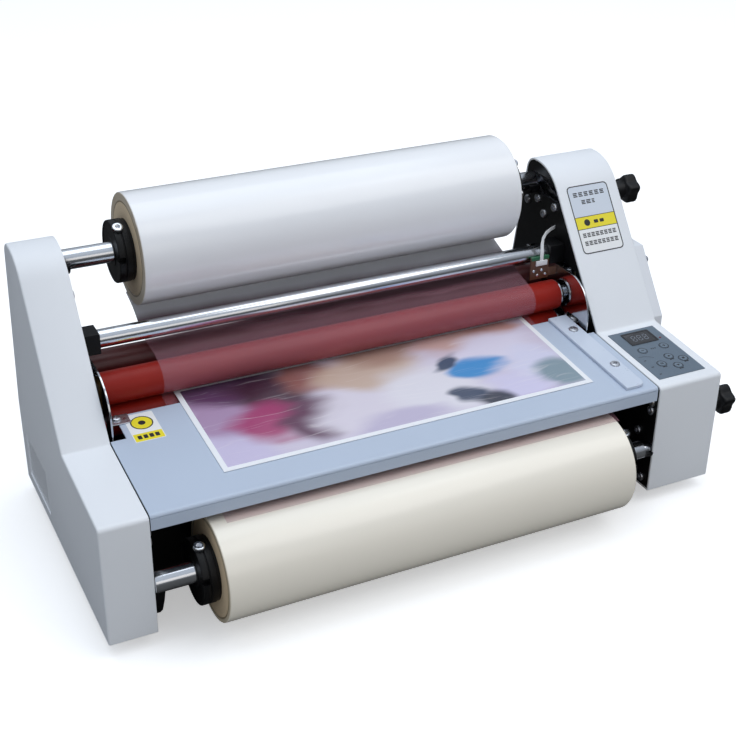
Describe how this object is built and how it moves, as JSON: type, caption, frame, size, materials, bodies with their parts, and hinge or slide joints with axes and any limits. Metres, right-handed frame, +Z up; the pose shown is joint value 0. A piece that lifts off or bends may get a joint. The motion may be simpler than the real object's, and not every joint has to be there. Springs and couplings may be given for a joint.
{
  "type": "cold roll laminator",
  "caption": "Table-top roll laminator: side casings, feed table with a print, nip rollers, film reels above and below, star tension knobs and a control panel.",
  "frame": {"origin": "middle of the overall box at the bottom of the rubber feet", "axes": "+X to the operator's right along the rollers, +Y from the operator to the back, +Z up"},
  "size_m": [0.5886, 0.3048, 0.2812],
  "materials": {
    "casing_paint": "satin off-white powder coat",
    "cover_paint": "satin off-white powder coat",
    "frame_black": "satin black paint",
    "table_paint": "satin pale blue-grey paint",
    "bright_steel": "polished",
    "zinc_steel": "zinc plated",
    "mirror_steel": "mirror polished",
    "guide_plastic": "semi-gloss",
    "red_rubber": "satin silicone rubber",
    "dark_red_rubber": "satin silicone rubber",
    "film": "glossy wound film",
    "web": "glossy translucent film",
    "paper_core": "paper tube",
    "print_paper": "coated paper",
    "black_plastic": "moulded plastic",
    "ivory_plastic": "moulded acetal",
    "bronze": "sintered bronze",
    "spring_steel": "oiled spring steel",
    "motor_black": "satin",
    "quartz": "clear quartz with ceramic ends",
    "overlay_grey": "printed polyester",
    "key_grey": "printed polyester",
    "smoked_window": "smoked acrylic",
    "board_green": "solder mask",
    "board_brown": "bare laminate",
    "cable_white": "flat cable jacket",
    "foot_rubber": "matt rubber"
  },
  "bodies": {
    "machine": {"left_casing": "casing_paint", "right_casing": "casing_paint", "left_side_plate": "frame_black", "right_side_plate": "frame_black", "base_pan": "frame_black", "feed_table": "table_paint", "table_brackets": "zinc_steel", "side_guide": "guide_plastic", "frame_screws": "zinc_steel", "idler_bar": "bright_steel", "idler_bar_blocks": "black_plastic", "end_plates": "mirror_steel", "heater_tubes": "quartz", "gear_motor": "motor_black", "shaft_seats": "black_plastic", "brake_springs": "spring_steel", "control_overlay": "overlay_grey", "display_window": "smoked_window", "control_board": "board_green", "sensor_board": "board_brown", "sensor_ribbon": "cable_white", "side_cover": "cover_paint", "power_inlet": "black_plastic", "rubber_feet": "foot_rubber", "upper_film_web": "web", "lower_film_web": "web"},
    "front_carriage": {"front_bearing_blocks": "bronze", "front_pressure_springs": "spring_steel"},
    "front_upper_nip_roller": {"front_upper_core": "bright_steel", "front_upper_sleeve": "red_rubber", "front_upper_gear": "ivory_plastic"},
    "rear_carriage": {"rear_bearing_blocks": "bronze", "rear_pressure_springs": "spring_steel"},
    "rear_upper_nip_roller": {"rear_upper_roller": "dark_red_rubber", "rear_upper_gear": "ivory_plastic"},
    "front_lower_nip_roller": {"front_lower_core": "bright_steel", "front_lower_sleeve": "red_rubber", "front_lower_gear": "ivory_plastic"},
    "rear_lower_nip_roller": {"rear_lower_roller": "dark_red_rubber", "rear_lower_gear": "ivory_plastic"},
    "idler": {"idler_gear": "ivory_plastic"},
    "pinion": {"motor_pinion": "zinc_steel"},
    "upper_reel": {"upper_supply_shaft": "bright_steel", "upper_core_holders": "black_plastic", "upper_core_tube": "paper_core", "upper_film_roll": "film"},
    "lower_reel": {"lower_supply_shaft": "bright_steel", "lower_core_holders": "black_plastic", "lower_core_tube": "paper_core", "lower_film_roll": "film"},
    "upper_knob": {"upper_tension_knob": "black_plastic"},
    "lower_knob": {"lower_tension_knob": "black_plastic"},
    "print": {"sample_print": "print_paper"},
    "minus_key": {"key_minus": "key_grey"},
    "plus_key": {"key_plus": "key_grey"},
    "forward_key": {"key_forward": "key_grey"},
    "reverse_key": {"key_reverse": "key_grey"},
    "stop_key": {"key_stop": "key_grey"},
    "heat_key": {"key_heat": "key_grey"},
    "rocker": {"power_rocker": "black_plastic"}
  },
  "joints": [
    {"name": "front_lower_spin", "type": "hinge", "parent": "machine", "child": "front_lower_nip_roller", "pos_m": [0, 0.0366, 0.11593], "axis": [1, 0, 0], "continuous": true},
    {"name": "front_nip_lift", "type": "slide", "parent": "machine", "child": "front_carriage", "axis": [0, 0, 1], "range_m": [0, 0.001], "stiffness_N_per_m": 9000, "springref_m": -0.004, "deforming": ["front_pressure_springs", "upper_film_web"]},
    {"name": "front_upper_spin", "type": "hinge", "parent": "front_carriage", "child": "front_upper_nip_roller", "pos_m": [0, 0.0366, 0.14553], "axis": [1, 0, 0], "continuous": true},
    {"name": "rear_nip_lift", "type": "slide", "parent": "machine", "child": "rear_carriage", "axis": [0, 0, 1], "range_m": [0, 0.001], "stiffness_N_per_m": 9000, "springref_m": -0.004, "deforming": ["rear_pressure_springs"]},
    {"name": "rear_upper_spin", "type": "hinge", "parent": "rear_carriage", "child": "rear_upper_nip_roller", "pos_m": [0, 0.0758, 0.14553], "axis": [1, 0, 0], "continuous": true},
    {"name": "rear_lower_spin", "type": "hinge", "parent": "machine", "child": "rear_lower_nip_roller", "pos_m": [0, 0.0758, 0.11593], "axis": [1, 0, 0], "continuous": true},
    {"name": "idler_spin", "type": "hinge", "parent": "machine", "child": "idler", "pos_m": [0, 0.0562, 0.08993], "axis": [1, 0, 0], "continuous": true},
    {"name": "pinion_spin", "type": "hinge", "parent": "machine", "child": "pinion", "pos_m": [0, 0.0562, 0.06329], "axis": [1, 0, 0], "continuous": true},
    {"name": "upper_reel_spin", "type": "hinge", "parent": "machine", "child": "upper_reel", "pos_m": [0, 0.1046, 0.2334], "axis": [1, 0, 0], "continuous": true},
    {"name": "lower_reel_spin", "type": "hinge", "parent": "machine", "child": "lower_reel", "pos_m": [0, -0.1084, 0.0545], "axis": [1, 0, 0], "continuous": true},
    {"name": "upper_tension_turn", "type": "hinge", "parent": "machine", "child": "upper_knob", "pos_m": [0.28725, 0.0716, 0.223], "axis": [1, 0, 0], "range_deg": [-180, 360]},
    {"name": "lower_tension_turn", "type": "hinge", "parent": "machine", "child": "lower_knob", "pos_m": [0.28725, -0.0984, 0.079], "axis": [1, 0, 0], "range_deg": [-180, 360]},
    {"name": "print_feed", "type": "slide", "parent": "machine", "child": "print", "axis": [0, 0.997, 0.0776], "range_m": [-0.15, 0]},
    {"name": "minus_press", "type": "slide", "parent": "machine", "child": "minus_key", "axis": [0, -0.0776, 0.997], "range_m": [-0.0004, 0], "stiffness_N_per_m": 1500, "springref_m": 0.0003},
    {"name": "plus_press", "type": "slide", "parent": "machine", "child": "plus_key", "axis": [0, -0.0776, 0.997], "range_m": [-0.0004, 0], "stiffness_N_per_m": 1500, "springref_m": 0.0003},
    {"name": "forward_press", "type": "slide", "parent": "machine", "child": "forward_key", "axis": [0, -0.0776, 0.997], "range_m": [-0.0004, 0], "stiffness_N_per_m": 1500, "springref_m": 0.0003},
    {"name": "reverse_press", "type": "slide", "parent": "machine", "child": "reverse_key", "axis": [0, -0.0776, 0.997], "range_m": [-0.0004, 0], "stiffness_N_per_m": 1500, "springref_m": 0.0003},
    {"name": "stop_press", "type": "slide", "parent": "machine", "child": "stop_key", "axis": [0, -0.0776, 0.997], "range_m": [-0.0004, 0], "stiffness_N_per_m": 1500, "springref_m": 0.0003},
    {"name": "heat_press", "type": "slide", "parent": "machine", "child": "heat_key", "axis": [0, -0.0776, 0.997], "range_m": [-0.0004, 0], "stiffness_N_per_m": 1500, "springref_m": 0.0003},
    {"name": "power_rock", "type": "hinge", "parent": "machine", "child": "rocker", "pos_m": [0.23375, 0.1416, 0.073], "axis": [1, 0, 0], "range_deg": [0, 16]}
  ],
  "couplings": [
    {"joint": "front_upper_spin", "follows": "front_lower_spin", "ratio": -1},
    {"joint": "rear_lower_spin", "follows": "front_lower_spin", "ratio": 1},
    {"joint": "rear_upper_spin", "follows": "front_lower_spin", "ratio": -1},
    {"joint": "idler_spin", "follows": "front_lower_spin", "ratio": -0.83333},
    {"joint": "pinion_spin", "follows": "front_lower_spin", "ratio": 1.6667},
    {"joint": "upper_reel_spin", "follows": "front_lower_spin", "ratio": -0.2908},
    {"joint": "lower_reel_spin", "follows": "front_lower_spin", "ratio": 0.31591}
  ]
}
